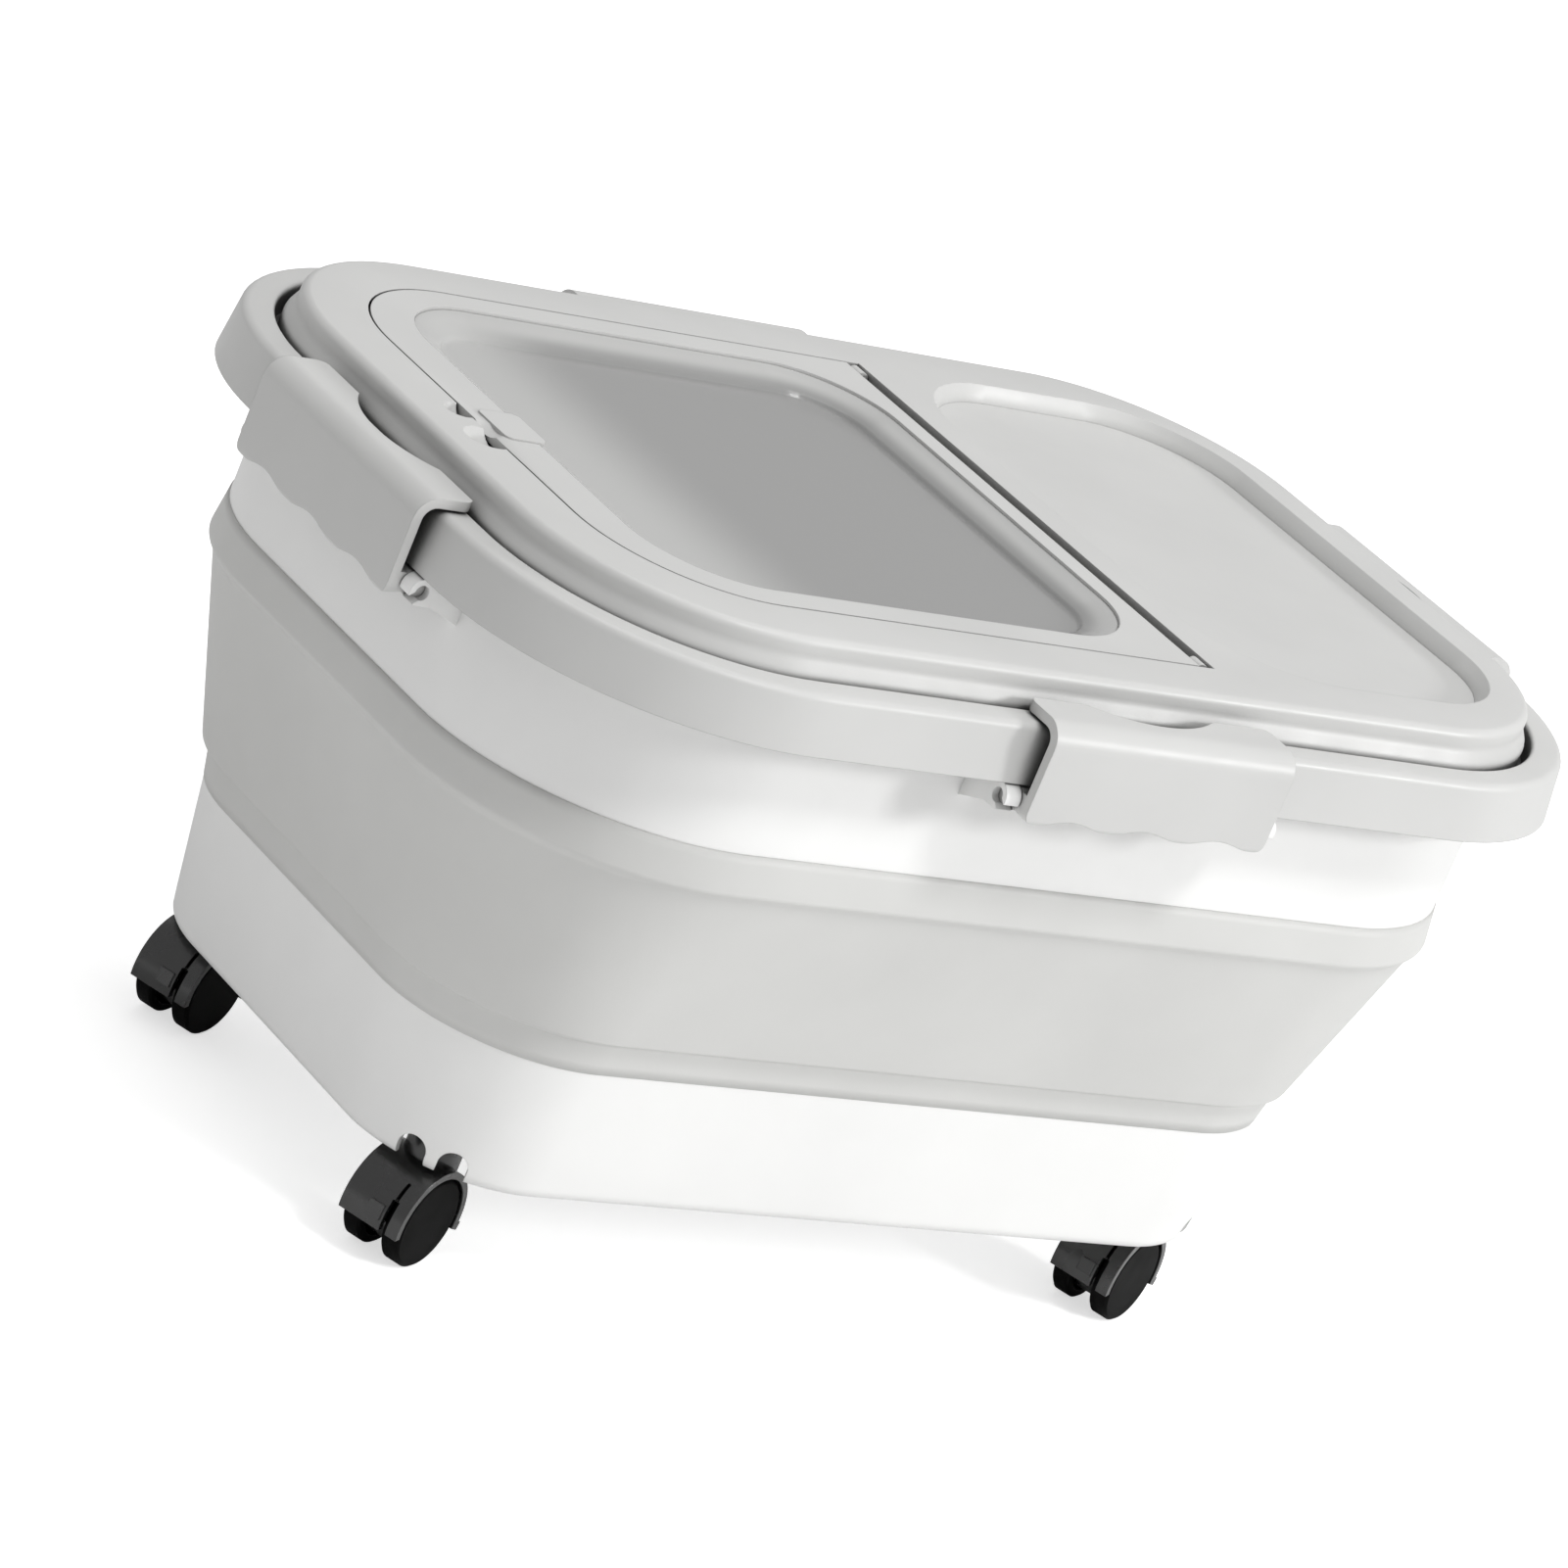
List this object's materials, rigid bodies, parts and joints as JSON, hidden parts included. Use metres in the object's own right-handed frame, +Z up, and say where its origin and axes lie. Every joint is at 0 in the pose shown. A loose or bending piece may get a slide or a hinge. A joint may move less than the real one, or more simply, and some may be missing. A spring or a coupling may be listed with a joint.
{
  "type": "folding rice bin with flip lid",
  "caption": "Folding rice bin on twin-wheel casters, with a latched lid, a windowed flip lid over the pouring mouth, a shallow tray and a soft folding wall.",
  "frame": {"origin": "on the floor under the middle of the bin", "axes": "+X along the length, towards the lid's tray end; +Y to the back; +Z up"},
  "size_m": [0.464, 0.32, 0.2557],
  "materials": {
    "white_body": "satin moulded polypropylene, fine grain",
    "grey_lid": "satin moulded polypropylene, fine grain",
    "grey_soft": "smooth matt soft thermoplastic rubber",
    "smoky_window": "smooth translucent smoky plastic",
    "black_hood": "semi-gloss black nylon",
    "black_wheel": "matt black nylon",
    "steel": "bright zinc-plated steel"
  },
  "bodies": {
    "tub": {"base_tub": "white_body", "fold_wall": "grey_soft", "stem_front_left": "steel", "stem_front_right": "steel", "stem_back_left": "steel", "stem_back_right": "steel"},
    "upper": {"top_frame": "white_body", "main_lid": "grey_lid", "lid_seal": "grey_soft", "flip_hinge_pins": "steel"},
    "flip": {"flip_lid": "grey_lid", "flip_window": "smoky_window", "flip_seal": "grey_soft"},
    "front_latch": {"latch_front": "grey_lid"},
    "back_latch": {"latch_back": "grey_lid"},
    "right_latch": {"latch_right": "grey_lid"},
    "left_latch": {"latch_left": "grey_lid"},
    "front_left_caster": {"hood_front_left": "black_hood", "axle_front_left": "steel"},
    "front_left_inner_wheel": {"inner_wheel_front_left": "black_wheel"},
    "front_left_outer_wheel": {"outer_wheel_front_left": "black_wheel"},
    "front_right_caster": {"hood_front_right": "black_hood", "axle_front_right": "steel"},
    "front_right_inner_wheel": {"inner_wheel_front_right": "black_wheel"},
    "front_right_outer_wheel": {"outer_wheel_front_right": "black_wheel"},
    "back_left_caster": {"hood_back_left": "black_hood", "axle_back_left": "steel"},
    "back_left_inner_wheel": {"inner_wheel_back_left": "black_wheel"},
    "back_left_outer_wheel": {"outer_wheel_back_left": "black_wheel"},
    "back_right_caster": {"hood_back_right": "black_hood", "axle_back_right": "steel"},
    "back_right_inner_wheel": {"inner_wheel_back_right": "black_wheel"},
    "back_right_outer_wheel": {"outer_wheel_back_right": "black_wheel"}
  },
  "joints": [
    {"name": "collapse", "type": "slide", "parent": "tub", "child": "upper", "axis": [0, 0, -1], "range_m": [0, 0.13], "deforming": ["fold_wall"]},
    {"name": "flip_open", "type": "hinge", "parent": "upper", "child": "flip", "pos_m": [0.0415, 0, 0.2526], "axis": [0, 1, 0], "range_deg": [0, 100]},
    {"name": "latch_front_swing", "type": "hinge", "parent": "upper", "child": "front_latch", "pos_m": [0, -0.151, 0.2191], "axis": [1, 0, 0], "range_deg": [0, 130]},
    {"name": "latch_back_swing", "type": "hinge", "parent": "upper", "child": "back_latch", "pos_m": [0, 0.151, 0.2191], "axis": [-1, 0, 0], "range_deg": [0, 130]},
    {"name": "latch_right_swing", "type": "hinge", "parent": "upper", "child": "right_latch", "pos_m": [0.223, 0, 0.2191], "axis": [0, 1, 0], "range_deg": [0, 130]},
    {"name": "latch_left_swing", "type": "hinge", "parent": "upper", "child": "left_latch", "pos_m": [-0.223, 0, 0.2191], "axis": [0, -1, 0], "range_deg": [0, 130]},
    {"name": "swivel_front_left", "type": "hinge", "parent": "tub", "child": "front_left_caster", "pos_m": [-0.149, -0.074, 0.0361], "axis": [0, 0, 1], "continuous": true},
    {"name": "spin_inner_front_left", "type": "hinge", "parent": "front_left_caster", "child": "front_left_inner_wheel", "pos_m": [-0.15444, -0.07654, 0.016], "axis": [-0.4226, 0.9063, 0], "continuous": true},
    {"name": "spin_outer_front_left", "type": "hinge", "parent": "front_left_caster", "child": "front_left_outer_wheel", "pos_m": [-0.15444, -0.07654, 0.016], "axis": [-0.4226, 0.9063, 0], "continuous": true},
    {"name": "swivel_front_right", "type": "hinge", "parent": "tub", "child": "front_right_caster", "pos_m": [0.149, -0.074, 0.0361], "axis": [0, 0, 1], "continuous": true},
    {"name": "spin_inner_front_right", "type": "hinge", "parent": "front_right_caster", "child": "front_right_inner_wheel", "pos_m": [0.14356, -0.07654, 0.016], "axis": [-0.4226, 0.9063, 0], "continuous": true},
    {"name": "spin_outer_front_right", "type": "hinge", "parent": "front_right_caster", "child": "front_right_outer_wheel", "pos_m": [0.14356, -0.07654, 0.016], "axis": [-0.4226, 0.9063, 0], "continuous": true},
    {"name": "swivel_back_left", "type": "hinge", "parent": "tub", "child": "back_left_caster", "pos_m": [-0.149, 0.074, 0.0361], "axis": [0, 0, 1], "continuous": true},
    {"name": "spin_inner_back_left", "type": "hinge", "parent": "back_left_caster", "child": "back_left_inner_wheel", "pos_m": [-0.15444, 0.07146, 0.016], "axis": [-0.4226, 0.9063, 0], "continuous": true},
    {"name": "spin_outer_back_left", "type": "hinge", "parent": "back_left_caster", "child": "back_left_outer_wheel", "pos_m": [-0.15444, 0.07146, 0.016], "axis": [-0.4226, 0.9063, 0], "continuous": true},
    {"name": "swivel_back_right", "type": "hinge", "parent": "tub", "child": "back_right_caster", "pos_m": [0.149, 0.074, 0.0361], "axis": [0, 0, 1], "continuous": true},
    {"name": "spin_inner_back_right", "type": "hinge", "parent": "back_right_caster", "child": "back_right_inner_wheel", "pos_m": [0.14356, 0.07146, 0.016], "axis": [-0.4226, 0.9063, 0], "continuous": true},
    {"name": "spin_outer_back_right", "type": "hinge", "parent": "back_right_caster", "child": "back_right_outer_wheel", "pos_m": [0.14356, 0.07146, 0.016], "axis": [-0.4226, 0.9063, 0], "continuous": true}
  ]
}
